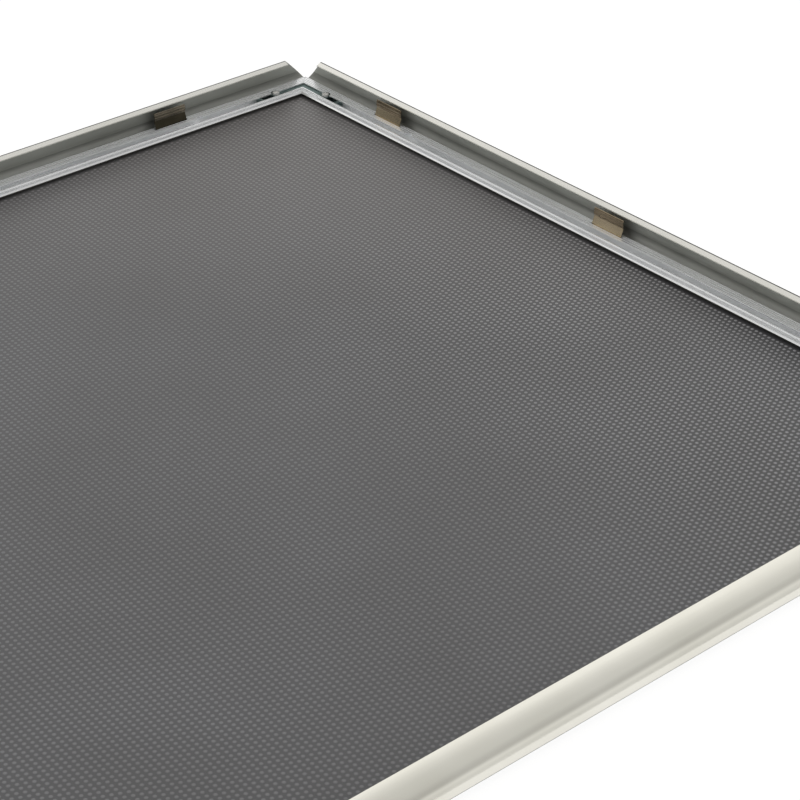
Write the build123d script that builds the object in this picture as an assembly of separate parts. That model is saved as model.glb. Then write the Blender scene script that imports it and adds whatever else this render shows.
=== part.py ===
from build123d import *
import math
import os

# A front-loading picture frame of aluminium rails, lying on its back.
# X runs across the short way, Y along the long way and Z out of the front.
# The left and top front rails stand open, the right and bottom ones are shut.

# Overall sizes of the shut frame
frame_width = 728.0
frame_height = 1030.0
rail_depth = 12.7

# Base rail: heights are measured up from the back, widths follow each other outward
floor_thickness = 1.4
lip_height = 6.7
lip_thickness = 2.3
lip_width = 5.2
lip_edge_radius = 1.0
ridge_height = 7.5
wall_thickness = 1.2
key_channel_width = 8.2
spring_seat_width = 5.0
strip_height = 7.9
strip_thickness = 1.2
strip_inner_overhang = 3.0
strip_outer_overhang = 0.7
seat_block_depth = 1.3
rail_mitre_gap = 0.05

# Fine grooves rolled along the lip and the outer strip
groove_width = 0.45
groove_depth = 0.3
strip_groove_count = 3
strip_groove_margin = 1.3
lip_groove_count = 2
lip_groove_margin = 1.4

# Hinge: a bead on the base rail inside a curled hook on the front rail
hinge_reach = 2.7
hinge_height = 3.6
hook_radius = 2.2
bead_radius = 1.2
neck_thickness = 0.9
hinge_clearance = 0.06
open_angle = 65.0
hook_upper_end_angle = 150.0
hook_lower_end_angle = -83.0

# Front rail
snap_wall = 1.2
crown_radius = 60.0
crown_place_share = 0.286
shoulder_place_share = 0.714
snap_edge_radius = 0.7
snap_foot_height = 1.3
picture_gap = 0.5
snap_mitre_gap = 0.2
end_relief_height = 5.0
end_relief_margin = 4.6
stop_rib_outward = 3.3
stop_rib_thickness = 0.8
stop_rib_drop = 0.9

# Leaf springs between the base rails and the front rails
spring_width = 29.0
spring_thickness = 0.5
spring_pivot_inset = 2.3
spring_pivot_height = 8.0
spring_foot_length = 0.95
spring_fold_outward = 11.0
spring_fold_height = 9.9
spring_head_outward = 5.1
spring_head_height = 10.9
spring_crimp_depth = 0.35
spring_crimp_count = 2
spring_turn_per_opening = 1.323
spring_slot_inner_inset = 0.85
spring_slot_outer_inset = 1.1
spring_slot_end_clearance = 1.2
side_spring_count = 4
side_spring_margin = 115.5
end_spring_count = 3
end_spring_first_margin = 108.5
end_spring_last_margin = 86.5

# Corner keys and their jacking screws
key_width_clearance = 0.15
key_thickness = 5.1
key_floor_clearance = 0.1
key_reach = 34.0
key_corner_radius = 1.5
key_window_start = 21.5
key_window_end = 31.5
key_window_width = 6.0
screw_from_corner = 17.5
screw_radius = 2.0
screw_head_radius = 2.75
screw_head_height = 1.5
screw_socket_width = 2.5
screw_socket_depth = 0.9
screw_tip_clearance = 0.05
thread_clearance = 0.05
access_radius = 4.0

# Holes for fixing the frame to a wall
wall_hole_radius = 2.25
side_wall_hole_margin = 91.0
end_wall_hole_margin = 117.0

# Backing panel
panel_thickness = 1.6
panel_floor_clearance = 0.2
panel_side_clearance = 0.5
panel_corner_radius = 2.0

# One overrun serves all cuts
cut_overrun = 5.0

# Places worked out from the sizes above, outward from the edge of the inner lip
channel_inner = lip_width + wall_thickness
channel_outer = channel_inner + key_channel_width
channel_middle = (channel_inner + channel_outer) / 2
outer_wall_face = channel_outer + spring_seat_width
hinge_outward = outer_wall_face + hinge_reach
rail_width = hinge_outward + hook_radius
strip_inner_edge = channel_outer - strip_inner_overhang
strip_outer_edge = outer_wall_face + strip_outer_overhang
end_relief_outward = rail_width - end_relief_margin
spring_pivot_outward = channel_outer + spring_pivot_inset
spring_slot_inner_edge = channel_outer + spring_slot_inner_inset
spring_slot_outer_edge = outer_wall_face - spring_slot_outer_inset
lip_span_x = frame_width - 2 * rail_width
lip_span_y = frame_height - 2 * rail_width
hook_bore = bead_radius + hinge_clearance
seat_underside = strip_height - strip_thickness - seat_block_depth


def block(x_low, x_high, y_low, y_high):
    """A flat rectangle between two corners."""
    middle = ((x_low + x_high) / 2, (y_low + y_high) / 2)
    return Pos(*middle) * Rectangle(x_high - x_low, y_high - y_low)


def solid_block(low, high):
    """A solid box between two corners."""
    size = [b - a for a, b in zip(low, high)]
    middle = [(a + b) / 2 for a, b in zip(low, high)]
    return Pos(*middle) * Box(*size)


def grooves(start, end, count, height):
    """Evenly spaced fine grooves cut down from a flat top."""
    pitch = (end - start) / count
    cuts = Sketch()
    for i in range(count + 1):
        place = start + i * pitch
        cuts += block(place - groove_width / 2, place + groove_width / 2,
                      height - groove_depth, height + cut_overrun)
    return cuts


def inner_top_corner(face):
    """The corner of an outline at its inner edge and top."""
    return face.vertices().group_by(Axis.X)[0].sort_by(Axis.Y)[-1]


def base_section():
    """Cross-section of a base rail, outward to the right and up."""
    lip = block(0, channel_inner, lip_height - lip_thickness, lip_height)
    section = fillet(inner_top_corner(lip), lip_edge_radius)
    section += block(0, outer_wall_face, 0, floor_thickness)
    section += block(lip_width, channel_inner, 0, ridge_height)
    section += block(channel_outer, channel_outer + wall_thickness, 0, strip_height)
    section += block(outer_wall_face - wall_thickness, outer_wall_face, 0, strip_height)
    section += block(channel_outer, outer_wall_face, seat_underside, strip_height)
    section += block(strip_inner_edge, strip_outer_edge, strip_height - strip_thickness, strip_height)
    section += block(outer_wall_face - wall_thickness, hinge_outward,
                     hinge_height - neck_thickness / 2, hinge_height + neck_thickness / 2)
    section += Pos(hinge_outward, hinge_height) * Circle(bead_radius)
    section -= grooves(strip_inner_edge + strip_groove_margin, strip_outer_edge - strip_groove_margin,
                       strip_groove_count, strip_height)
    section -= grooves(lip_groove_margin, lip_width - lip_groove_margin, lip_groove_count, lip_height)
    return section


def arch(inset):
    """The front rail's crowned outline, brought in by an inset, with open legs down to the back."""
    crown = crown_radius - inset
    crown_middle = (rail_width * crown_place_share, rail_depth - crown_radius)
    start = rail_width * shoulder_place_share
    lean = math.asin((start - crown_middle[0]) / crown_radius)
    shoulder_radius = (rail_width - start) / (1 - math.sin(lean))
    shoulder_middle = (rail_width - shoulder_radius,
                       crown_middle[1] + (crown_radius - shoulder_radius) * math.cos(lean))
    edge_lean = math.asin((inset - crown_middle[0]) / crown)
    edge = (inset, crown_middle[1] + crown * math.cos(edge_lean))
    top = (crown_middle[0], crown_middle[1] + crown)
    join = (crown_middle[0] + crown * math.sin(lean), crown_middle[1] + crown * math.cos(lean))
    side = (rail_width - inset, shoulder_middle[1])
    half_lean = (lean + math.pi / 2) / 2
    round_radius = shoulder_radius - inset
    bend = (shoulder_middle[0] + round_radius * math.sin(half_lean),
            shoulder_middle[1] + round_radius * math.cos(half_lean))
    outline = Line((inset, 0), edge)
    outline += ThreePointArc(edge, top, join)
    outline += ThreePointArc(join, bend, side)
    outline += Line(side, (rail_width - inset, 0))
    outline += Line((rail_width - inset, 0), (inset, 0))
    return make_face(outline)


def hook_mouth():
    """The open side of the hook, through which the neck of the bead passes."""
    reach = rail_width
    turns = [hook_upper_end_angle, 180, 270, 360 + hook_lower_end_angle]
    points = [(0, 0)]
    for turn in turns:
        points.append((reach * math.cos(math.radians(turn)), reach * math.sin(math.radians(turn))))
    return Pos(hinge_outward, hinge_height) * make_face(Polyline(*points, close=True))


def hook_section():
    """The curled hook at the outer edge of a front rail."""
    hook = Pos(hinge_outward, hinge_height) * Circle(hook_radius)
    hook += block(hinge_outward, rail_width, snap_foot_height, hinge_height)
    hook -= block(0, rail_width, 0, snap_foot_height)
    return hook - hook_mouth()


def snap_section():
    """Cross-section of a front rail as it lies when shut."""
    outer = arch(0)
    section = fillet(inner_top_corner(outer), snap_edge_radius) - arch(snap_wall)
    section -= block(0, snap_wall, 0, lip_height + picture_gap)
    section -= block(rail_width - snap_wall, rail_width, 0, snap_foot_height)
    crown_underside = rail_depth - snap_wall
    section += block(stop_rib_outward, stop_rib_outward + stop_rib_thickness,
                     crown_underside - stop_rib_drop, crown_underside)
    section += hook_section()
    return section - Pos(hinge_outward, hinge_height) * Circle(hook_bore)


def spring_section():
    """Cross-section of a leaf spring as it lies when the front rail is shut."""
    plate_run = spring_pivot_outward - spring_fold_outward
    plate_rise = spring_fold_height - spring_pivot_height
    foot_share = spring_foot_length / math.hypot(plate_run, plate_rise)
    foot = (spring_pivot_outward + plate_run * foot_share, spring_pivot_height - plate_rise * foot_share)
    points = [foot, (spring_fold_outward, spring_fold_height)]
    steps = 2 * spring_crimp_count + 1
    head_run = spring_head_outward - spring_fold_outward
    head_rise = spring_head_height - spring_fold_height
    for i in range(1, steps):
        drop = spring_crimp_depth if i % 2 else 0
        points.append((spring_fold_outward + head_run * i / steps,
                       spring_fold_height + head_rise * i / steps - drop))
    points.append((spring_head_outward, spring_head_height))
    upper = []
    lower = []
    half = spring_thickness / 2
    for i, point in enumerate(points):
        before = points[max(i - 1, 0)]
        after = points[min(i + 1, len(points) - 1)]
        run = (after[0] - before[0], after[1] - before[1])
        length = math.hypot(*run)
        normal = (-run[1] / length * half, run[0] / length * half)
        upper.append((point[0] + normal[0], point[1] + normal[1]))
        lower.append((point[0] - normal[0], point[1] - normal[1]))
    return make_face(Polyline(*upper, *reversed(lower), close=True))


def along_rail(section, lip_span, length):
    """Extrude a section along the right-hand rail's place, centred on the X axis."""
    place = Pos(lip_span / 2, 0, 0) * Plane.XZ
    return extrude(place * section, amount=length / 2, both=True)


def mitre_prism(lip_span, rail_span, gap, height):
    """The space that a mitred right-hand rail may fill."""
    near = lip_span / 2 - cut_overrun
    far = lip_span / 2 + rail_width + cut_overrun
    near_end = rail_span / 2 - cut_overrun - gap
    far_end = rail_span / 2 + rail_width + cut_overrun - gap
    outline = Polyline((near, near_end), (far, far_end), (far, -far_end), (near, -near_end), close=True)
    return Pos(0, 0, -cut_overrun) * extrude(make_face(outline), amount=height + 2 * cut_overrun)


def row_of_places(count, span, first_margin, last_margin):
    """Evenly spaced places along a rail, between a margin at each end of its inner lip."""
    first = first_margin - span / 2
    pitch = (span - first_margin - last_margin) / (count - 1)
    return [first + i * pitch for i in range(count)]


def base_rail(lip_span, rail_span, spring_places, hole_margin):
    """A base rail in the right-hand place, with its slots and holes."""
    full = rail_span + 2 * rail_width
    rail = along_rail(base_section(), lip_span, full) & mitre_prism(lip_span, rail_span, rail_mitre_gap,
                                                                    rail_depth)
    edge = lip_span / 2
    slot_reach = spring_width / 2 + spring_slot_end_clearance
    slot_floor = strip_height - strip_thickness
    for place in spring_places:
        rail -= solid_block((edge + spring_slot_inner_edge, place - slot_reach, slot_floor),
                            (edge + spring_slot_outer_edge, place + slot_reach, rail_depth))
    access = Cylinder(access_radius, rail_depth, align=(Align.CENTER, Align.CENTER, Align.MIN))
    hole = Cylinder(wall_hole_radius, 2 * cut_overrun)
    strip_underside = strip_height - strip_thickness
    screw_place = rail_span / 2 - screw_from_corner
    hole_place = rail_span / 2 - hole_margin
    for side in (-1, 1):
        rail -= Pos(edge + channel_middle, side * screw_place, strip_underside) * access
        rail -= Pos(edge + channel_middle, side * hole_place, strip_underside) * access
        rail -= Pos(edge + channel_middle, side * hole_place, 0) * hole
    return rail


def snap_rail(lip_span, rail_span):
    """A front rail in the right-hand place, shut."""
    full = rail_span + 2 * rail_width
    rail = along_rail(snap_section(), lip_span, full) & mitre_prism(lip_span, rail_span, snap_mitre_gap,
                                                                    rail_depth)
    edge = lip_span / 2
    relief_start = rail_span / 2 + end_relief_outward
    for side in (-1, 1):
        ends = sorted((side * relief_start, side * full))
        rail -= solid_block((edge, ends[0], 0),
                            (edge + rail_width + cut_overrun, ends[1], end_relief_height))
    return rail


def leaf_spring(lip_span, place):
    """One leaf spring in the right-hand rail, lying as when shut."""
    return Pos(0, place, 0) * along_rail(spring_section(), lip_span, spring_width)


def turned(shape, lip_span, outward, height, angle):
    """Turn a piece of the right-hand rail about a line along the rail, opening it."""
    axis_place = Pos(lip_span / 2 + outward, 0, height)
    return axis_place * Rot(0, angle, 0) * axis_place.inverse() * shape


def corner_key():
    """The L-shaped key in the corner at +X and +Y."""
    half_width = key_channel_width / 2 - key_width_clearance
    middle_x = lip_span_x / 2 + channel_middle
    middle_y = lip_span_y / 2 + channel_middle
    low = floor_thickness + key_floor_clearance
    high = low + key_thickness
    leg_x = solid_block((lip_span_x / 2 - key_reach, middle_y - half_width, low),
                        (middle_x + half_width, middle_y + half_width, high))
    leg_y = solid_block((middle_x - half_width, lip_span_y / 2 - key_reach, low),
                        (middle_x + half_width, middle_y + half_width, high))
    key = leg_x + leg_y
    outer = key.edges().filter_by(Axis.Z).sort_by(lambda edge: edge.center().X + edge.center().Y)[-1]
    key = fillet(outer, key_corner_radius)
    half_window = key_window_width / 2
    start_x = lip_span_x / 2 - key_window_start
    start_y = lip_span_y / 2 - key_window_start
    window_length = key_window_end - key_window_start
    key -= solid_block((start_x - window_length, middle_y - half_window, 0),
                       (start_x, middle_y + half_window, rail_depth))
    key -= solid_block((middle_x - half_window, start_y - window_length, 0),
                       (middle_x + half_window, start_y, rail_depth))
    for place in screw_places():
        key -= Pos(*place, 0) * Cylinder(screw_radius + thread_clearance, 2 * rail_depth)
    return key


def screw_places():
    """Where the two jacking screws of the +X and +Y corner stand."""
    return [(lip_span_x / 2 + channel_middle, lip_span_y / 2 - screw_from_corner),
            (lip_span_x / 2 - screw_from_corner, lip_span_y / 2 + channel_middle)]


def jacking_screw(place):
    """A socket-head screw that bears on the channel floor."""
    low = floor_thickness + screw_tip_clearance
    head_low = floor_thickness + key_floor_clearance + key_thickness + screw_tip_clearance
    bottom = (Align.CENTER, Align.CENTER, Align.MIN)
    screw = Pos(0, 0, low) * Cylinder(screw_radius, head_low - low, align=bottom)
    screw += Pos(0, 0, head_low) * Cylinder(screw_head_radius, screw_head_height, align=bottom)
    socket = extrude(RegularPolygon(screw_socket_width / 2, 6), amount=screw_socket_depth + cut_overrun)
    screw -= Pos(0, 0, head_low + screw_head_height - screw_socket_depth) * socket
    return Pos(*place, 0) * screw


def backing_panel():
    """The flat panel held in the grooves of the base rails."""
    insert = lip_width - panel_side_clearance
    width = lip_span_x + 2 * insert
    height = lip_span_y + 2 * insert
    sheet = extrude(RectangleRounded(width, height, panel_corner_radius), amount=panel_thickness)
    return Pos(0, 0, floor_thickness + panel_floor_clearance) * sheet


def save(shape, name):
    """Write one piece to its own file."""
    export_step(shape, "parts/" + name + ".step")


os.makedirs("parts", exist_ok=True)

save(backing_panel(), "backing_panel")

# The two long sides are alike, and so are the two ends.
long_rail = {"across": lip_span_x, "along": lip_span_y, "hole_margin": side_wall_hole_margin,
             "springs": row_of_places(side_spring_count, lip_span_y, side_spring_margin, side_spring_margin)}
end_rail = {"across": lip_span_y, "along": lip_span_x, "hole_margin": end_wall_hole_margin,
            "springs": row_of_places(end_spring_count, lip_span_x, end_spring_first_margin,
                                     end_spring_last_margin)}

# Each rail is built in the right-hand place and then turned to its own side.
sides = {
    "right": (long_rail, 0, 0),
    "top": (end_rail, 90, open_angle),
    "left": (long_rail, 180, open_angle),
    "bottom": (end_rail, 270, 0),
}
for side_name, (rail, turn, opening) in sides.items():
    place = Rot(0, 0, turn)
    across = rail["across"]
    base = base_rail(across, rail["along"], rail["springs"], rail["hole_margin"])
    save(place * base, "base_rail_" + side_name)
    front = turned(snap_rail(across, rail["along"]), across, hinge_outward, hinge_height, opening)
    save(place * front, "snap_rail_" + side_name)
    for number, spring_place in enumerate(rail["springs"], start=1):
        spring = turned(leaf_spring(across, spring_place), across, spring_pivot_outward,
                        spring_pivot_height, opening * spring_turn_per_opening)
        save(place * spring, "spring_clip_" + side_name + "_" + str(number))

# The corner pieces are built once and mirrored to the other three corners.
corners = {"top_right": (1, 1), "top_left": (-1, 1), "bottom_left": (-1, -1), "bottom_right": (1, -1)}
for corner_name, signs in corners.items():
    pieces = {"corner_key_" + corner_name: corner_key()}
    for number, screw_place in enumerate(screw_places(), start=1):
        pieces["corner_screw_" + corner_name + "_" + str(number)] = jacking_screw(screw_place)
    for piece_name, piece in pieces.items():
        if signs[0] < 0:
            piece = mirror(piece, about=Plane.YZ)
        if signs[1] < 0:
            piece = mirror(piece, about=Plane.XZ)
        save(piece, piece_name)
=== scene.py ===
import bpy
import bmesh
import math
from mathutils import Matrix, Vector


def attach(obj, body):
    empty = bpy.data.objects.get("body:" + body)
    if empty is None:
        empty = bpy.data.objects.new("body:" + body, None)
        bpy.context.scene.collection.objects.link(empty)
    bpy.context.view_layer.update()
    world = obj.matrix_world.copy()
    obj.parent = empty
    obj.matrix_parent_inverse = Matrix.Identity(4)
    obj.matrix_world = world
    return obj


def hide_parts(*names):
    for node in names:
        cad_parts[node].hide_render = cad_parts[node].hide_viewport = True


# Poster frame lying on its back, seen from above its front right side.
# Millimetres and degrees in the dictionaries, metres in the scene.

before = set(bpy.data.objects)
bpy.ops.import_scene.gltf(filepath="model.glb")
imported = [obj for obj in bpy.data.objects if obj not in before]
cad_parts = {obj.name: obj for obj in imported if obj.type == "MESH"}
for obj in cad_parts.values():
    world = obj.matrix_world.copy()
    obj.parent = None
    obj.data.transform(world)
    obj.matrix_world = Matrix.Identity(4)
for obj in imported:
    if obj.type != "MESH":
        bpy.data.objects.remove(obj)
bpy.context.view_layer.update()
mm = 0.001  # a millimetre in scene units

# half sizes of the opening between the lips, and the turn of a front rail that stands open
opening = {"halfX": 339.5, "halfY": 490.5, "openAngle": 65}

# places of the springs and wall holes along a long and a short rail, from its middle
longSide = {"across": opening["halfX"], "span": opening["halfY"],
            "springs": [-375, -125, 125, 375], "hole": 399.5}
shortSide = {"across": opening["halfY"], "span": opening["halfX"],
             "springs": [-231, 11, 253], "hole": 222.5}

# the four sides: outward direction, direction along the rail and turn of the front rail
sides = {
    "right": dict(longSide, out=(1, 0), along=(0, 1), open=0),
    "top": dict(shortSide, out=(0, 1), along=(-1, 0), open=opening["openAngle"]),
    "left": dict(longSide, out=(-1, 0), along=(0, -1), open=opening["openAngle"]),
    "bottom": dict(shortSide, out=(0, -1), along=(1, 0), open=0),
}


def metres(*lengths):
    return tuple(length * mm for length in lengths)


# mesh helpers

sharpAngle = 35  # edges that turn by more than this stay crisp


def railPoint(side, d, s, z):
    # point of a rail: d outward from the lip edge, s along the rail, z up
    out, along, base = side["out"], side["along"], side["across"]
    return Vector((out[0] * (base + d) + along[0] * s, out[1] * (base + d) + along[1] * s, z)) * mm


def roundOff(points, steps=4, edgeShare=0.45):
    # closed outline from (d, z, radius) corners, each rounded within its share of the edges beside it
    outline = []
    count = len(points)
    for i, (d, z, radius) in enumerate(points):
        here = Vector((d, z))
        if radius <= 0:
            outline.append((d, z))
            continue
        before = Vector(points[i - 1][:2]) - here
        after = Vector(points[(i + 1) % count][:2]) - here
        angle = before.angle(after) / 2
        reach = min(radius / math.tan(angle), before.length * edgeShare, after.length * edgeShare)
        radius = reach * math.tan(angle)
        start = here + before.normalized() * reach
        end = here + after.normalized() * reach
        middle = here + (before.normalized() + after.normalized()).normalized() * (radius / math.sin(angle))
        for k in range(steps + 1):
            spoke = start.lerp(end, k / steps) - middle
            outline.append(tuple(middle + spoke.normalized() * radius))
    return outline


def arcPoints(d, z, radius, start, end, steps):
    # points on an arc; angles in degrees from outward, turning up
    turns = [math.radians(start + (end - start) * k / steps) for k in range(steps + 1)]
    return [(d + radius * math.cos(t), z + radius * math.sin(t)) for t in turns]


def swing(d, z, pivotD, pivotZ, degrees):
    # turn a section point about a pivot, opening outward
    t = math.radians(degrees)
    dx, dz = d - pivotD, z - pivotZ
    return pivotD + dx * math.cos(t) + dz * math.sin(t), pivotZ - dx * math.sin(t) + dz * math.cos(t)


def bridge(bm, first, second):
    # side faces between two rings of vertices
    following = [(i + 1) % len(first) for i in range(len(first))]
    return [bm.faces.new((first[i], first[k], second[k], second[i])) for i, k in enumerate(following)]


def cap(bm, rings):
    # fill the end inside one ring, or between an outer ring and a hollow
    edges = [bm.edges.get((ring[i - 1], ring[i])) for ring in rings for i in range(len(ring))]
    bmesh.ops.triangle_fill(bm, use_beauty=True, use_dissolve=False, edges=edges)


def addPiece(name, mesh, sharp=sharpAngle):
    # put a mesh in the scene, smooth below an angle
    mesh.polygons.foreach_set("use_smooth", [True] * len(mesh.polygons))
    mesh.set_sharp_from_angle(angle=math.radians(sharp))
    piece = bpy.data.objects.new(name, mesh)
    bpy.context.scene.collection.objects.link(piece)
    return piece


def meshObject(name, bm, sharp=sharpAngle):
    # turn a bmesh into an object
    bmesh.ops.recalc_face_normals(bm, faces=bm.faces)
    mesh = bpy.data.meshes.new(name)
    bm.to_mesh(mesh)
    bm.free()
    return addPiece(name, mesh, sharp)


def cutAway(piece, cutters):
    # take the cutters out of a piece and drop them
    for cutter in cutters:
        modifier = piece.modifiers.new("cut", "BOOLEAN")
        modifier.operation = "DIFFERENCE"
        modifier.solver = "EXACT"
        modifier.object = cutter
    bpy.context.view_layer.update()
    evaluated = piece.evaluated_get(bpy.context.evaluated_depsgraph_get())
    mesh = bpy.data.meshes.new_from_object(evaluated)
    piece.modifiers.clear()
    piece.data = mesh
    mesh.set_sharp_from_angle(angle=math.radians(sharpAngle))
    for cutter in cutters:
        bpy.data.objects.remove(cutter)


def cutterPiece(side, places, zLow, zHigh, finish=0):
    # closed cutter with the (d, s) outline, whose walls leave their finish on the cut
    bm = bmesh.new()
    rings = [[bm.verts.new(railPoint(side, d, s, z)) for d, s in places] for z in (zLow, zHigh)]
    for wall in bridge(bm, *rings):
        wall.material_index = finish
    for ring in rings:
        bm.faces.new(ring)
    return meshObject("cutter", bm)


def boxCutter(side, dLow, dHigh, sLow, sHigh, zLow, zHigh):
    corners = ((dLow, sLow), (dHigh, sLow), (dHigh, sHigh), (dLow, sHigh))
    return cutterPiece(side, corners, zLow, zHigh)


def roundCutter(side, d, s, radius, zLow, zHigh, steps, finish=0):
    # a full turn, less the last point, which would be the first again
    places = arcPoints(d, s, radius, 0, 360 - 360 / steps, steps - 1)
    return cutterPiece(side, places, zLow, zHigh, finish)


# node helpers

noiseRange = (0.3, 0.7)  # the part of a noise that is spread over a finish's two tones
noiseDetail = 3.0  # of the slow clouds; streaks and grain have their own
mixA, mixB, mixResult = 6, 7, 2  # colour sockets of a mix node


def nodeMaterial(name):
    material = bpy.data.materials.new(name)
    material.use_nodes = True
    tree = material.node_tree
    return material, tree, tree.nodes["Principled BSDF"]


def placeOf(tree, output="Object"):
    # X, Y and Z of a place on the piece, or of a direction in the sky
    coords = tree.nodes.new("ShaderNodeTexCoord")
    split = tree.nodes.new("ShaderNodeSeparateXYZ")
    tree.links.new(coords.outputs[output], split.inputs["Vector"])
    return split.outputs


def scaledNoise(tree, scale, detail=noiseDetail, stretch=(1, 1, 1)):
    # noise in object coordinates, stretched along the axes
    coords = tree.nodes.new("ShaderNodeTexCoord")
    mapping = tree.nodes.new("ShaderNodeMapping")
    mapping.inputs["Scale"].default_value = stretch
    noise = tree.nodes.new("ShaderNodeTexNoise")
    noise.inputs["Scale"].default_value = scale
    noise.inputs["Detail"].default_value = detail
    tree.links.new(coords.outputs["Object"], mapping.inputs["Vector"])
    tree.links.new(mapping.outputs["Vector"], noise.inputs["Vector"])
    return noise.outputs["Fac"]


def mixedColor(tree, noise, dark, light):
    # two tones, mixed by a noise
    ramp = tree.nodes.new("ShaderNodeValToRGB")
    for element, position, color in zip(ramp.color_ramp.elements, noiseRange, (dark, light)):
        element.position = position
        element.color = (*color, 1)
    tree.links.new(noise, ramp.inputs["Fac"])
    return ramp.outputs["Color"]


def spread(tree, value, source, target, kind="SMOOTHSTEP"):
    # value carried from the source range to the target range
    node = tree.nodes.new("ShaderNodeMapRange")
    node.interpolation_type = kind
    for socket, number in zip(("From Min", "From Max", "To Min", "To Max"), (*source, *target)):
        node.inputs[socket].default_value = number
    tree.links.new(value, node.inputs["Value"])
    return node.outputs["Result"]


def maths(tree, operation, *values):
    # maths node on sockets and plain numbers
    node = tree.nodes.new("ShaderNodeMath")
    node.operation = operation
    for socket, value in zip(node.inputs, values):
        if isinstance(value, float):
            socket.default_value = value
        else:
            tree.links.new(value, socket)
    return node.outputs["Value"]


def tinted(tree, share, color, tint):
    # color multiplied by a tint, as far as the share says
    node = tree.nodes.new("ShaderNodeMix")
    node.data_type = "RGBA"
    node.blend_type = "MULTIPLY"
    tree.links.new(share, node.inputs["Factor"])
    tree.links.new(color, node.inputs[mixA])
    node.inputs[mixB].default_value = (*tint, 1)
    return node.outputs[mixResult]


def mixedShader(tree, share, first, second):
    node = tree.nodes.new("ShaderNodeMixShader")
    tree.links.new(share, node.inputs["Fac"])
    tree.links.new(first, node.inputs[1])
    tree.links.new(second, node.inputs[2])
    return node.outputs["Shader"]


def finishSurface(tree, shader, color, grain, look):
    # colour, uneven roughness and fine bumps of a surface
    tree.links.new(color, shader.inputs["Base Color"])
    roughness = spread(tree, grain, noiseRange, look["roughness"], "LINEAR")
    tree.links.new(roughness, shader.inputs["Roughness"])
    bump = tree.nodes.new("ShaderNodeBump")
    bump.inputs["Strength"].default_value = look["bump"]
    bump.inputs["Distance"].default_value = look["bumpDepth"] * mm
    tree.links.new(grain, bump.inputs["Height"])
    tree.links.new(bump.outputs["Normal"], shader.inputs["Normal"])


def metalMaterial(name, look, stretch=(1, 1, 1)):
    # drawn or rolled metal with fine streaks
    material, tree, shader = nodeMaterial(name)
    streaks = scaledNoise(tree, look["streakScale"], look["streakDetail"], stretch)
    cloud = scaledNoise(tree, look["cloudScale"])
    color = mixedColor(tree, cloud, look["dark"], look["light"])
    finishSurface(tree, shader, color, streaks, look)
    shader.inputs["Metallic"].default_value = look["metallic"]
    return material


# rail finishes

frontLook = {"dark": (0.77, 0.755, 0.68), "light": (0.83, 0.815, 0.745), "roughness": (0.2, 0.27),
             "metallic": 1.0, "streakScale": 300.0, "streakDetail": 2.0, "cloudScale": 18.0,
             "bump": 0.15, "bumpDepth": 0.02}
railLooks = {
    "front": frontLook,
    # painted highlight: the lip finish is the front rail metal made lighter, for the lip face
    "lip": dict(frontLook, dark=(0.93, 0.92, 0.86), light=(0.98, 0.97, 0.92)),
    # painted shade: the inside finish is the front rail metal made darker, and rougher, for the rail's inner
    # face
    "inside": dict(frontLook, dark=(0.6, 0.61, 0.57), light=(0.67, 0.68, 0.64), roughness=(0.56, 0.64)),
    # painted shade: the shoulder finish is darker still, for the inner corner under the crown and round the
    # hook
    "shoulder": dict(frontLook, dark=(0.42, 0.425, 0.4), light=(0.49, 0.495, 0.47),
                     roughness=(0.56, 0.64)),
    "base": dict(frontLook, dark=(0.9, 0.91, 0.92), light=(0.96, 0.97, 0.98), roughness=(0.24, 0.32),
                 metallic=0.72),
    # painted shade: the groove finish is darker, for the bottoms of the fine grooves
    "groove": dict(frontLook, dark=(0.58, 0.59, 0.61), light=(0.66, 0.67, 0.69), roughness=(0.4, 0.5)),
    "channel": dict(frontLook, dark=(0.9, 0.91, 0.92), light=(0.96, 0.97, 0.98), roughness=(0.4, 0.5),
                    metallic=0.5),
    # painted shade: the edge finish is near black, for thin dark lines at the lip fronts, strip edges, screw
    # pockets and the front rails' crown and foot edges
    "edge": dict(frontLook, dark=(0.09, 0.09, 0.085), light=(0.13, 0.13, 0.12), roughness=(0.4, 0.5)),
}
# painted shade: the channel colour is darkened in the hollow past each corner key, this far from the corner
# of the opening
hollowLook = {"from": 30.0, "to": 16.0, "soft": 4.0, "shade": 0.92, "tint": (0.0, 0.0, 0.0)}

# drawn metal has its streaks along the rail
streaksAlong = {"along x": (0.02, 1, 1), "along y": (1, 0.02, 1)}


def shadeHollows(material, look, axis, span):
    tree = material.node_tree
    shader = tree.nodes["Principled BSDF"]
    color = shader.inputs["Base Color"].links[0].from_socket
    away = maths(tree, "ABSOLUTE", placeOf(tree)[axis])
    nearer, farther, soft = span - look["from"], span - look["to"], look["soft"]
    begins = spread(tree, away, metres(nearer - soft, nearer), (0.0, look["shade"]))
    ends = spread(tree, away, metres(farther, farther + soft), (1.0, 0.0))
    # painted shade: the base colour is multiplied towards the black tint over the hollow
    shaded = tinted(tree, maths(tree, "MULTIPLY", begins, ends), color, look["tint"])
    tree.links.new(shaded, shader.inputs["Base Color"])


railMaterials = {}
for finish, look in railLooks.items():
    for run, stretch in streaksAlong.items():
        railMaterials[finish + " " + run] = metalMaterial(finish + " rail metal " + run, look, stretch)
shadeHollows(railMaterials["channel along y"], hollowLook, "Y", opening["halfY"])
shadeHollows(railMaterials["channel along x"], hollowLook, "X", opening["halfX"])


def giveFinishes(rail, side, finishes):
    # the rail's material slots, in the order of its finishes
    run = "along y" if side["along"][1] else "along x"
    for finish in finishes:
        rail.data.materials.append(railMaterials[finish + " " + run])


print("stage: rail finishes ready")

# base rails

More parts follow.
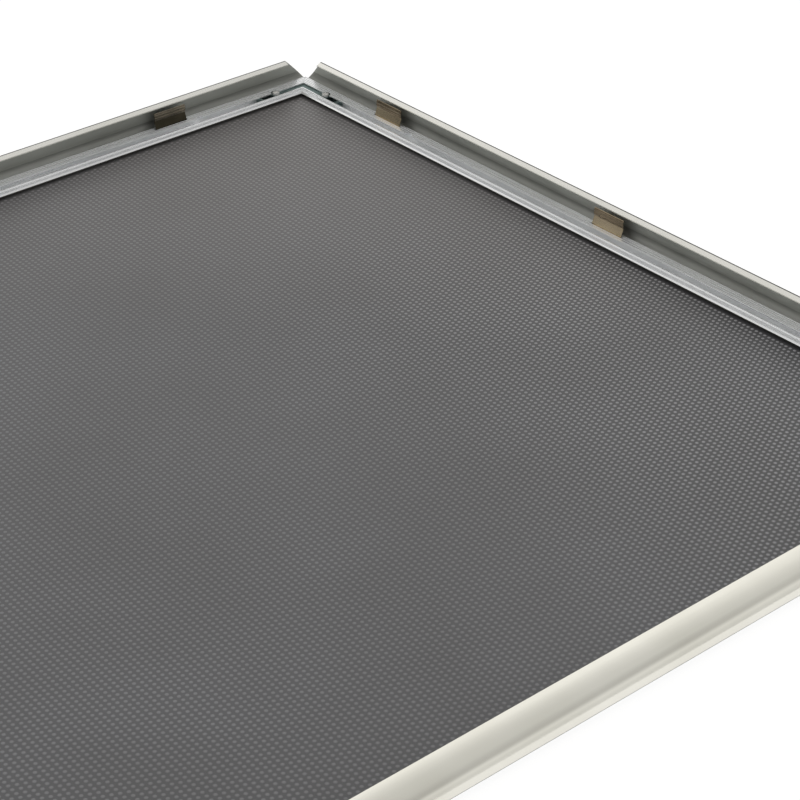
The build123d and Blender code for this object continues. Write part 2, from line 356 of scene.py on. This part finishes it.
baseRail = {"floor": 1.4, "wall": 1.2, "edge": 0.18, "innerEdge": 0.1, "gap": 0.05,
            "lip": 6.7, "lipThickness": 2.3, "lipWidth": 5.2, "lipEdge": 1.0, "lipCorner": 0.15,
            "ridge": 7.5, "ridgeEdge": 0.3, "channelOuter": 14.6,
            "strip": 7.9, "stripThickness": 1.2, "stripInner": 11.6, "stripOuter": 20.3,
            "wallFace": 19.6, "seat": 5.4,
            "hingeD": 22.3, "hingeZ": 3.6, "bead": 1.2, "beadSteps": 24, "neck": 0.9,
            "stripGrooves": [19.0, 16.97, 14.93, 12.9], "lipGrooves": [3.8, 2.6, 1.4],
            "grooveWidth": 0.62, "grooveFloor": 0.31, "grooveDepth": 0.35,
            "grooveEdge": 0.12, "grooveCorner": 0.08,
            "slotInner": 15.45, "slotOuter": 18.5, "slotHalf": 15.7,
            "pocketD": 10.5, "pocketRadius": 4.0, "pocketSteps": 40, "pocketFromCorner": 17.5,
            "holeRadius": 2.25, "holeSteps": 28, "holeLow": -2, "holeHigh": 3, "cutTop": 12,
            "finishes": ["base", "groove", "channel", "edge"], "finishSlack": 0.1}


def grooveCorners(places, height, look):
    # corners of fine grooves in a flat top, walked inward
    corners = []
    half, halfFloor = look["grooveWidth"] / 2, look["grooveFloor"] / 2
    bottom = height - look["grooveDepth"]
    for place in places:
        corners += [(place + half, height, look["grooveEdge"]),
                    (place + halfFloor, bottom, look["grooveCorner"]),
                    (place - halfFloor, bottom, look["grooveCorner"]),
                    (place - half, height, look["grooveEdge"])]
    return corners


def baseOutline(look):
    # outer outline and the hollow of the base rail
    edge, innerEdge, ridgeEdge = look["edge"], look["innerEdge"], look["ridgeEdge"]
    floor, strip, lip, lipEdge = look["floor"], look["strip"], look["lip"], look["lipEdge"]
    inner = look["lipWidth"] + look["wall"]
    underStrip = strip - look["stripThickness"]
    underLip = lip - look["lipThickness"]
    half = look["neck"] / 2
    reach = math.degrees(math.asin(half / look["bead"]))
    # the bead is an open circle, which its neck joins on the inner side
    bead = arcPoints(look["hingeD"], look["hingeZ"], look["bead"], 180 + reach, 540 - reach,
                     look["beadSteps"])
    corners = [(0, 0, edge), (look["wallFace"], 0, edge),
               (look["wallFace"], look["hingeZ"] - half, innerEdge)]
    corners += [(d, z, 0) for d, z in bead]
    corners += [(look["wallFace"], look["hingeZ"] + half, innerEdge),
                (look["wallFace"], underStrip, innerEdge),
                (look["stripOuter"], underStrip, edge), (look["stripOuter"], strip, edge)]
    corners += grooveCorners(look["stripGrooves"], strip, look)
    corners += [(look["stripInner"], strip, edge), (look["stripInner"], underStrip, edge),
                (look["channelOuter"], underStrip, innerEdge), (look["channelOuter"], floor, innerEdge),
                (inner, floor, innerEdge), (inner, look["ridge"], ridgeEdge),
                (look["lipWidth"], look["ridge"], ridgeEdge), (look["lipWidth"], lip, innerEdge)]
    corners += grooveCorners(look["lipGrooves"], lip, look)
    corners += [(lipEdge, lip, look["lipCorner"]), (0, lip - lipEdge, look["lipCorner"]),
                (0, underLip, edge), (look["lipWidth"], underLip, innerEdge),
                (look["lipWidth"], floor, innerEdge), (0, floor, edge)]
    wallIn = look["channelOuter"] + look["wall"]
    wallOut = look["wallFace"] - look["wall"]
    hollow = [(wallIn, floor, 0), (wallOut, floor, 0), (wallOut, look["seat"], 0),
              (wallIn, look["seat"], 0)]
    return roundOff(corners), roundOff(hollow)


def inGroove(look, d, z):
    # down in one of the fine grooves, below the top third of its depth, where the darker groove finish is
    # painted shade
    top = look["strip"] if d > look["stripInner"] else look["lip"]
    bottom = top - look["grooveDepth"]
    places = look["stripGrooves"] + look["lipGrooves"]
    near = min(abs(d - place) for place in places) < look["grooveWidth"] / 2
    return near and bottom - look["finishSlack"] < z < top - look["grooveDepth"] / 3


def inChannel(look, d, z):
    # on the floor or the walls of the key channel
    inner, slack = look["lipWidth"] + look["wall"], look["finishSlack"]
    between = inner - slack < d < look["channelOuter"] + slack
    return between and look["floor"] - slack < z < look["lip"] - slack


def onPaintedShadeEdge(look, d, z):
    # on the front of the lip, or on the outer edge of the strip, where the near-black edge finish is painted
    # shade
    underLip, chamfer = look["lip"] - look["lipThickness"], look["lip"] - look["lipEdge"]
    lipFront = d < look["finishSlack"] and underLip < z < chamfer
    return lipFront or (d > look["stripOuter"] - look["edge"] and z > look["strip"] - look["stripThickness"])


def baseFinish(look, first, second):
    # finish of the face between two outline points
    d, z = (first[0] + second[0]) / 2, (first[1] + second[1]) / 2
    if inGroove(look, d, z):
        return "groove"
    if inChannel(look, d, z):
        return "channel"
    return "edge" if onPaintedShadeEdge(look, d, z) else "base"


def makeBaseRail(name, side):
    look = baseRail
    finishes = look["finishes"]
    bm = bmesh.new()
    ends = {-1: [], 1: []}  # rings of vertices at the two mitred ends
    for loop in baseOutline(look):
        for end, rings in ends.items():
            mitred = [(d, end * (side["span"] + d - look["gap"]), z) for d, z in loop]
            rings.append([bm.verts.new(railPoint(side, *place)) for place in mitred])
        walls = bridge(bm, ends[-1][-1], ends[1][-1])
        for i, wall in enumerate(walls):
            wall.material_index = finishes.index(baseFinish(look, loop[i], loop[(i + 1) % len(loop)]))
    for rings in ends.values():
        cap(bm, rings)
    rail = meshObject(name, bm)
    giveFinishes(rail, side, finishes)
    slotFloor = look["strip"] - look["stripThickness"]
    cutters = []
    for place in side["springs"]:
        cutters.append(boxCutter(side, look["slotInner"], look["slotOuter"], place - look["slotHalf"],
                                 place + look["slotHalf"], slotFloor, look["cutTop"]))
    # painted shade: the walls of the screw pockets take the near-black edge finish
    pockets = ((side["span"] - look["pocketFromCorner"], "edge"), (side["hole"], "base"))
    for end in (-1, 1):
        for place, finish in pockets:
            cutters.append(roundCutter(side, look["pocketD"], end * place, look["pocketRadius"], slotFloor,
                                       look["cutTop"], look["pocketSteps"], finishes.index(finish)))
        cutters.append(roundCutter(side, look["pocketD"], end * side["hole"], look["holeRadius"],
                                   look["holeLow"], look["holeHigh"], look["holeSteps"]))
    cutAway(rail, cutters)
    return rail


for sideName, side in sides.items():
    rail = makeBaseRail("baseRail." + sideName, side)
    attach(rail, "frame_base")
    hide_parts("base_rail_" + sideName)

print("stage: base rails done")

# front rails

frontRail = {"width": 24.48, "depth": 12.66, "wall": 1.2, "gap": 0.2,
             "crownRadius": 60.0, "crownAt": 7.007, "crownSteps": 40,
             "shoulderAt": 17.493, "shoulderSteps": 20,
             "lipFoot": 7.2, "lipEdge": 1.4, "lipEdgeEnd": 92, "lipEdgeSteps": 8, "paintedShadeSteps": 6,
             "ribD": 3.3, "ribWidth": 0.8, "ribDrop": 0.9, "ribEdge": 0.2,
             "reliefZ": 5.0, "reliefAt": 19.9, "legSteps": 4,
             "foot": 1.3, "footEdge": 0.9, "footSteps": 5,
             "hingeD": baseRail["hingeD"], "hingeZ": baseRail["hingeZ"],
             "hookBore": 1.26, "hookRadius": 2.18, "hookLower": -83.0, "hookUpper": 150.0, "hookEnd": 62.9,
             "boreSteps": 40, "hookSteps": 14,
             "finishes": ["front", "inside", "shoulder", "lip", "edge"]}


def crownLine(look, inset, start):
    # crown and shoulder, walked outward from d = start, and the outer leg below the end relief
    centreZ = look["depth"] - look["crownRadius"]
    radius = look["crownRadius"] - inset
    lean = math.asin((look["shoulderAt"] - look["crownAt"]) / look["crownRadius"])
    shoulder = (look["width"] - look["shoulderAt"]) / (1 - math.sin(lean))
    shoulderD = look["width"] - shoulder
    shoulderZ = centreZ + (look["crownRadius"] - shoulder) * math.cos(lean)
    first = 90 - math.degrees(math.asin((start - look["crownAt"]) / radius))
    turn = 90 - math.degrees(lean)
    last = math.degrees(math.asin((look["reliefZ"] - shoulderZ) / (shoulder - inset)))
    line = arcPoints(look["crownAt"], centreZ, radius, first, turn, look["crownSteps"])
    line += arcPoints(shoulderD, shoulderZ, shoulder - inset, turn, last, look["shoulderSteps"])[1:]
    return line, arcPoints(shoulderD, shoulderZ, shoulder - inset, last, 0, look["legSteps"])


def upperOutline(look):
    # shut front rail above the end relief, and the finishes of its faces by their first point
    lipEdge, ribEdge = look["lipEdge"], look["ribEdge"]
    crown, _ = crownLine(look, 0, lipEdge)
    under, _ = crownLine(look, look["wall"], look["wall"])
    outline = [(0, look["lipFoot"])]
    outline += arcPoints(lipEdge, crown[0][1] - lipEdge, lipEdge, 180, look["lipEdgeEnd"],
                         look["lipEdgeSteps"])
    outline += crown[1:]
    insideStart = len(outline)
    shoulderEnd = insideStart + look["shoulderSteps"]
    ribLow, ribHigh = look["ribD"], look["ribD"] + look["ribWidth"]
    ribZ = look["depth"] - look["wall"] - look["ribDrop"]
    ribbed = False
    for d, z in reversed(under):
        if d < ribHigh and not ribbed:
            outline += [(ribHigh, z), (ribHigh, ribZ + ribEdge), (ribHigh - ribEdge, ribZ),
                        (ribLow + ribEdge, ribZ), (ribLow, ribZ + ribEdge), (ribLow, z)]
            ribbed = True
        if d > ribHigh or d < ribLow:
            outline.append((d, z))
    outline.append((look["wall"], look["lipFoot"]))
    # painted light and shade on the faces: the lip face takes the lighter lip finish as a painted highlight,
    # the first faces of the crown's edge rounding the near-black edge finish as a painted shade line, the
    # inside and its darker shoulder painted shade
    finishes = {0: "lip"}
    finishes.update({i: "edge" for i in range(1, 1 + look["paintedShadeSteps"])})
    finishes.update({i: "shoulder" for i in range(insideStart, shoulderEnd)})
    finishes.update({i: "inside" for i in range(shoulderEnd, len(outline) - 1)})
    return outline, finishes


def lowerOutline(look):
    # outer leg, foot and hook of the shut front rail, and the finishes of their faces
    hingeD, hingeZ, foot, footEdge = look["hingeD"], look["hingeZ"], look["foot"], look["footEdge"]
    _, outline = crownLine(look, 0, look["lipEdge"])
    footStart = len(outline)
    outline += arcPoints(look["width"] - footEdge, foot + footEdge, footEdge, 0, -90, look["footSteps"])
    outline.append((hingeD + (hingeZ - foot) / math.tan(math.radians(-look["hookLower"])), foot))
    outline += arcPoints(hingeD, hingeZ, look["hookBore"], look["hookLower"], look["hookUpper"],
                         look["boreSteps"])
    hookStart = len(outline)
    outline += arcPoints(hingeD, hingeZ, look["hookRadius"], look["hookUpper"], look["hookEnd"],
                         look["hookSteps"])
    # painted shade: the foot's rounding takes the near-black edge finish, a painted shadow where it meets
    # the floor, and the hook the darker shoulder finish
    finishes = {i: "edge" for i in range(footStart, footStart + look["footSteps"])}
    finishes.update({i: "shoulder" for i in range(hookStart, len(outline))})
    return outline, finishes


def makeFrontRail(name, side):
    look = frontRail
    bm = bmesh.new()
    # the lower part ends at the relief, short of the mitre
    for (outline, faceFinishes), limit in ((upperOutline(look), look["width"]),
                                           (lowerOutline(look), look["reliefAt"])):
        rings = []
        for end in (-1, 1):
            ring = []
            for d, z in outline:
                s = end * (side["span"] + min(d, limit) - look["gap"])
                turnedD, turnedZ = swing(d, z, look["hingeD"], look["hingeZ"], side["open"])
                ring.append(bm.verts.new(railPoint(side, turnedD, s, turnedZ)))
            rings.append(ring)
        walls = bridge(bm, *rings)
        for i, finish in faceFinishes.items():
            walls[i].material_index = look["finishes"].index(finish)
        for ring in rings:
            cap(bm, [ring])
    rail = meshObject(name, bm)
    giveFinishes(rail, side, look["finishes"])
    return rail


for sideName, side in sides.items():
    rail = makeFrontRail("frontRail." + sideName, side)
    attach(rail, sideName + "_front_rail")
    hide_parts("snap_rail_" + sideName)

print("stage: front rails done")

# leaf springs

springLook = {"dark": (0.56, 0.46, 0.31), "light": (0.7, 0.585, 0.41), "roughness": (0.14, 0.2),
              "metallic": 1.0, "streakScale": 420.0, "streakDetail": 2.0, "cloudScale": 60.0,
              "bump": 0.2, "bumpDepth": 0.02}
# painted shade: the ripples are the bronze made darker, for the part tucked under the lip
rippleLook = dict(springLook, dark=(0.2, 0.16, 0.11), light=(0.36, 0.29, 0.2))
# painted shade: the springs on the long rails get near-black copies of the bronze, their ripples a less dark
# copy
longSpringLook = dict(springLook, dark=(0.03, 0.027, 0.018), light=(0.07, 0.06, 0.042))
longRippleLook = dict(springLook, dark=(0.12, 0.105, 0.08), light=(0.24, 0.21, 0.16))
shortRailSprings = [metalMaterial("bronze spring", springLook), metalMaterial("bronze ripple", rippleLook)]
longRailSprings = [metalMaterial("long rail spring, painted deep shade", longSpringLook),
                   metalMaterial("long rail ripple, painted shade", longRippleLook)]

# the line runs from the foot in the strip, up the plate and over the ripples
leafSpring = {"width": 29.0, "thickness": 0.45, "pivotD": 16.9, "pivotZ": 8.0, "turn": 86.0,
              "rippleFrom": 3, "sharpAngle": 50,
              "line": [(17.76, 7.68), (16.9, 8.0), (11.8, 10.22), (11.4, 10.34), (10.8, 10.2), (10.1, 9.86),
                       (9.5, 9.74), (9.0, 9.92), (8.5, 10.22), (8.0, 10.22), (7.5, 9.98), (7.0, 10.06),
                       (6.5, 10.4), (6.0, 10.5), (5.5, 10.66), (5.1, 10.88)]}


def makeSpring(name, side, place):
    look = leafSpring
    line = [Vector(point) for point in look["line"]]
    turn = look["turn"] if side["open"] else 0
    upper, lower = [], []
    for i, point in enumerate(line):
        run = line[min(i + 1, len(line) - 1)] - line[max(i - 1, 0)]
        normal = Vector((-run.y, run.x)).normalized() * look["thickness"] / 2
        upper.append(point + normal)
        lower.append(point - normal)
    loop = [swing(point.x, point.y, look["pivotD"], look["pivotZ"], turn) for point in upper + lower[::-1]]
    bm = bmesh.new()
    rings = []
    for s in (place - look["width"] / 2, place + look["width"] / 2):
        rings.append([bm.verts.new(railPoint(side, d, s, z)) for d, z in loop])
    walls = bridge(bm, *rings)
    for wall in walls[look["rippleFrom"]:-look["rippleFrom"] - 1]:
        wall.material_index = 1  # the ripples' darker copy of the bronze, painted shade
    for ring in rings:
        cap(bm, [ring])
    spring = meshObject(name, bm, look["sharpAngle"])
    # painted shade: the springs on the long rails take the near-black copies
    for material in longRailSprings if side["along"][1] else shortRailSprings:
        spring.data.materials.append(material)
    return spring


for sideName, side in sides.items():
    for number, place in enumerate(side["springs"], start=1):
        spring = makeSpring("spring." + sideName + "." + str(number), side, place)
        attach(spring, sideName + "_springs")
        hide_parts("spring_clip_" + sideName + "_" + str(number))

print("stage: springs done")

# backing panel

panelLook = {"sheet": ((0.084, 0.083, 0.086), (0.097, 0.097, 0.102)),
             # painted highlight: the dots are the sheet's plastic made about twice as light, for the sheen
             # on their raised tops
             "dots": ((0.16, 0.158, 0.163), (0.2, 0.2, 0.21)),
             "cloudScale": 7.0, "grainScale": 900.0, "grainDetail": 2.0,
             "roughness": (0.36, 0.48), "bump": 0.25, "bumpDepth": 0.03,
             # painted sheen: the corner tint lightens and warms the far left corner
             "cornerSheenTint": (1.45, 1.38, 1.3), "cornerSpan": (300, 830),
             # painted highlight and shade: the crisp factors lighten the dots and darken the sheet towards
             # the far right corner
             "crispX": (-200, 50), "crispY": (150, 400), "crispSheet": 0.7, "crispDots": 1.6}


def panelMaterial(name, tones, crisp):
    look = panelLook
    material, tree, shader = nodeMaterial(name)
    cloud = scaledNoise(tree, look["cloudScale"])
    grain = scaledNoise(tree, look["grainScale"], look["grainDetail"])
    place = placeOf(tree)
    color = mixedColor(tree, cloud, *tones)
    # painted sheen: the far left corner is a little lighter and warmer
    away = maths(tree, "SUBTRACT", place["Y"], place["X"])
    farLeft = spread(tree, away, metres(*look["cornerSpan"]), (0.0, 1.0), "LINEAR")
    color = tinted(tree, farLeft, color, look["cornerSheenTint"])
    # painted highlight and shade: towards the far right corner the dots are lighter and the sheet darker, so
    # the dots stand out more
    right = spread(tree, place["X"], metres(*look["crispX"]), (0.0, 1.0))
    far = spread(tree, place["Y"], metres(*look["crispY"]), (0.0, 1.0))
    color = tinted(tree, maths(tree, "MULTIPLY", right, far), color, (crisp, crisp, crisp))
    finishSurface(tree, shader, color, grain, look)
    return material


panel = {"halfX": 344.2, "halfY": 495.2, "low": 1.6, "high": 2.95, "corner": 2.0, "cornerSteps": 8,
         "top": 3.2, "pitchX": 3.72, "pitchY": 3.95, "dotRadius": 1.2, "dotSides": 6, "dotSink": 0.02,
         "reachX": 339.0, "reachY": 490.0, "splitAt": 113}


def makePanelSheet(look):
    halfX, halfY, corner = look["halfX"], look["halfY"], look["corner"]
    corners = [(-halfX, -halfY, corner), (halfX, -halfY, corner), (halfX, halfY, corner),
               (-halfX, halfY, corner)]
    outline = roundOff(corners, look["cornerSteps"])
    bm = bmesh.new()
    rings = [[bm.verts.new(Vector((x, y, z)) * mm) for x, y in outline] for z in (look["low"], look["high"])]
    bridge(bm, *rings)
    for ring in rings:
        bm.faces.new(ring)
    return meshObject("panelSheet", bm)


def makePanelDots(look, name, xLow, xHigh):
    # raised dots on a staggered lattice, as low closed cones let a little into the sheet
    points, faces = [], []
    count = look["dotSides"]
    turns = [2 * math.pi * k / count for k in range(count)]
    rise = look["top"] - look["high"]
    radius = look["dotRadius"] * (rise + look["dotSink"]) / rise
    base = look["high"] - look["dotSink"]
    row = 0
    y = -look["reachY"] + look["pitchY"] / 2
    while y < look["reachY"]:
        x = -look["reachX"] + look["pitchX"] * (0.5 if row % 2 else 1.0)
        while x < look["reachX"]:
            if xLow <= x < xHigh:
                start = len(points)
                ring = [(x + radius * math.cos(t), y + radius * math.sin(t), base) for t in turns]
                points += [metres(*point) for point in ring + [(x, y, look["top"])]]
                faces += [(start + k, start + (k + 1) % count, start + count) for k in range(count)]
                faces.append([start + k for k in reversed(range(count))])
            x += look["pitchX"]
        y += look["pitchY"]
        row += 1
    mesh = bpy.data.meshes.new(name)
    mesh.from_pydata(points, [], faces)
    return addPiece(name, mesh)


sheetPiece = makePanelSheet(panel)
sheetPiece.data.materials.append(panelMaterial("panel plastic", panelLook["sheet"], panelLook["crispSheet"]))
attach(sheetPiece, "frame_base")
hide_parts("backing_panel")
# painted highlight: the dots take the lighter copy of the panel plastic
dotMaterial = panelMaterial("panel dots", panelLook["dots"], panelLook["crispDots"])
dotBounds = [-panel["reachX"], -panel["splitAt"], panel["splitAt"], panel["reachX"]]
for part, xLow, xHigh in zip(("left", "middle", "right"), dotBounds, dotBounds[1:]):
    dots = makePanelDots(panel, "panelDots." + part, xLow, xHigh)
    dots.data.materials.append(dotMaterial)
    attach(dots, "frame_base")

print("stage: backing panel done")

# corner keys and screws keep their own solids

keyLook = {"dark": (0.13, 0.18, 0.18), "light": (0.2, 0.26, 0.25), "roughness": (0.4, 0.55),
           "metallic": 0.9, "streakScale": 260.0, "streakDetail": 2.0, "cloudScale": 90.0,
           "bump": 0.3, "bumpDepth": 0.02, "edge": 0.3}
screwLook = {"dark": (0.95, 0.94, 0.92), "light": (1.0, 0.99, 0.97), "roughness": (0.2, 0.3),
             "metallic": 0.45, "streakScale": 500.0, "streakDetail": 2.0, "cloudScale": 200.0,
             "bump": 0.1, "bumpDepth": 0.02, "edge": 0.7}
edgeRounding = {"segments": 3, "angle": 50}


def finishNodes(prefix, material, look):
    # material and rounded edges for the CAD pieces of one kind
    for nodeName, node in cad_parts.items():
        if nodeName.startswith(prefix):
            node.data.materials.clear()
            node.data.materials.append(material)
            bevel = node.modifiers.new("edges", "BEVEL")
            bevel.width = look["edge"] * mm
            bevel.segments = edgeRounding["segments"]
            bevel.limit_method = "ANGLE"
            bevel.angle_limit = math.radians(edgeRounding["angle"])


finishNodes("corner_key", metalMaterial("zinc key", keyLook), keyLook)
finishNodes("corner_screw", metalMaterial("bright screw", screwLook), screwLook)

print("stage: corner pieces done")

# floor, light and camera

view = {"azimuth": 49.472, "elevation": 31.8167, "place": (1021.27, -569.02, 785.8),
        "lens": 105.4365, "sensor": 36.0, "clipStart": 50}
# metal sees a darker floor behind the two open rails, past these places
floorLook = {"size": 8000, "drop": 0.3, "color": (0.9, 0.9, 0.9), "glow": 1.2, "glowShare": 0.7,
             "behind": 375, "beyond": 525, "soft": 30, "shade": 0.85}
# sky brightness against the height of the direction, from level to overhead
skyLook = {"steps": [(0.0, 0.95), (0.12, 1.05), (0.3, 1.1), (0.53, 1.22), (0.7, 0.7), (0.83, 0.68),
                     (1.0, 0.78)],
           "tint": (1.0, 0.995, 0.98),
           "frontShare": 0.85, "frontSpan": (-0.6, 0.0),
           "leftShare": 1.0, "rightShare": 0.7, "acrossSpan": (-0.8, 0.8),
           "lowBackShare": 0.1, "lowHeight": 0.2, "backSpan": (0.1, 0.4), "leftSpan": (0.1, -0.1)}


def makeFloor(look):
    bm = bmesh.new()
    half = look["size"] / 2
    corners = ((-half, -half), (half, -half), (half, half), (-half, half))
    bm.faces.new([bm.verts.new(metres(x, y, -look["drop"])) for x, y in corners])
    floor = meshObject("floor", bm)
    material = bpy.data.materials.new("floor")
    material.use_nodes = True
    tree = material.node_tree
    tree.nodes.clear()
    output = tree.nodes.new("ShaderNodeOutputMaterial")
    diffuse = tree.nodes.new("ShaderNodeBsdfDiffuse")
    diffuse.inputs["Color"].default_value = (*look["color"], 1)
    glow = tree.nodes.new("ShaderNodeEmission")
    glow.inputs["Strength"].default_value = look["glow"]
    dark = tree.nodes.new("ShaderNodeEmission")
    dark.inputs["Strength"].default_value = 0.0
    ray = tree.nodes.new("ShaderNodeLightPath")
    # the camera and the metal see a white floor that keeps part of the shadow
    seen = maths(tree, "MAXIMUM", ray.outputs["Is Camera Ray"], ray.outputs["Is Glossy Ray"])
    share = maths(tree, "MULTIPLY", seen, look["glowShare"])
    white = mixedShader(tree, share, diffuse.outputs["BSDF"], glow.outputs["Emission"])
    place = placeOf(tree)
    behind, beyond, soft = look["behind"], look["beyond"], look["soft"]
    left = spread(tree, place["X"], metres(-behind, -behind - soft), (0.0, look["shade"]))
    back = spread(tree, place["Y"], metres(beyond, beyond + soft), (0.0, look["shade"]))
    shade = maths(tree, "MULTIPLY", ray.outputs["Is Glossy Ray"], maths(tree, "MAXIMUM", left, back))
    shaded = mixedShader(tree, shade, white, dark.outputs["Emission"])
    tree.links.new(shaded, output.inputs["Surface"])
    floor.data.materials.append(material)


def makeSky(look):
    # studio surroundings: white for the camera, graded for the metal
    world = bpy.data.worlds.new("studio")
    bpy.context.scene.world = world
    world.use_nodes = True
    tree = world.node_tree
    tree.nodes.clear()
    output = tree.nodes.new("ShaderNodeOutputWorld")
    direction = placeOf(tree, "Generated")
    ramp = tree.nodes.new("ShaderNodeValToRGB")
    elements = ramp.color_ramp.elements
    brightest = max(value for _, value in look["steps"])
    while len(elements) < len(look["steps"]):
        elements.new(0.5)  # the next loop sets its place
    for element, (position, value) in zip(elements, look["steps"]):
        element.position = position
        element.color = (*(value / brightest * c for c in look["tint"]), 1)
    tree.links.new(direction["Z"], ramp.inputs["Fac"])
    front = spread(tree, direction["Y"], look["frontSpan"], (look["frontShare"] * brightest, brightest))
    across = spread(tree, direction["X"], look["acrossSpan"], (look["leftShare"], look["rightShare"]))
    # the left of the back is dark just over the floor
    back = spread(tree, direction["Y"], look["backSpan"], (0.0, 1.0))
    left = spread(tree, direction["X"], look["leftSpan"], (0.0, 1.0))
    low = spread(tree, direction["Z"], (look["lowHeight"], 0.0), (0.0, 1.0 - look["lowBackShare"]))
    lost = maths(tree, "MULTIPLY", maths(tree, "MULTIPLY", back, left), low)
    kept = maths(tree, "SUBTRACT", 1.0, lost)
    strength = maths(tree, "MULTIPLY", maths(tree, "MULTIPLY", front, across), kept)
    soft = tree.nodes.new("ShaderNodeBackground")
    tree.links.new(ramp.outputs["Color"], soft.inputs["Color"])
    tree.links.new(strength, soft.inputs["Strength"])
    white = tree.nodes.new("ShaderNodeBackground")
    white.inputs["Color"].default_value = (1, 1, 1, 1)
    ray = tree.nodes.new("ShaderNodeLightPath")
    sky = mixedShader(tree, ray.outputs["Is Camera Ray"], soft.outputs["Background"],
                      white.outputs["Background"])
    tree.links.new(sky, output.inputs["Surface"])


def makeCamera(look):
    data = bpy.data.cameras.new("camera")
    data.sensor_width = look["sensor"]
    data.lens = look["lens"]
    data.clip_start = look["clipStart"] * mm
    camera = bpy.data.objects.new("camera", data)
    bpy.context.scene.collection.objects.link(camera)
    azimuth, elevation = math.radians(look["azimuth"]), math.radians(look["elevation"])
    back = Vector((math.sin(azimuth) * math.cos(elevation), -math.cos(azimuth) * math.cos(elevation),
                   math.sin(elevation)))
    camera.location = metres(*look["place"])
    camera.rotation_euler = back.to_track_quat("Z", "Y").to_euler()
    bpy.context.scene.camera = camera


makeFloor(floorLook)
makeSky(skyLook)
makeCamera(view)
bpy.context.scene.view_settings.view_transform = "Standard"
print("stage: studio ready")
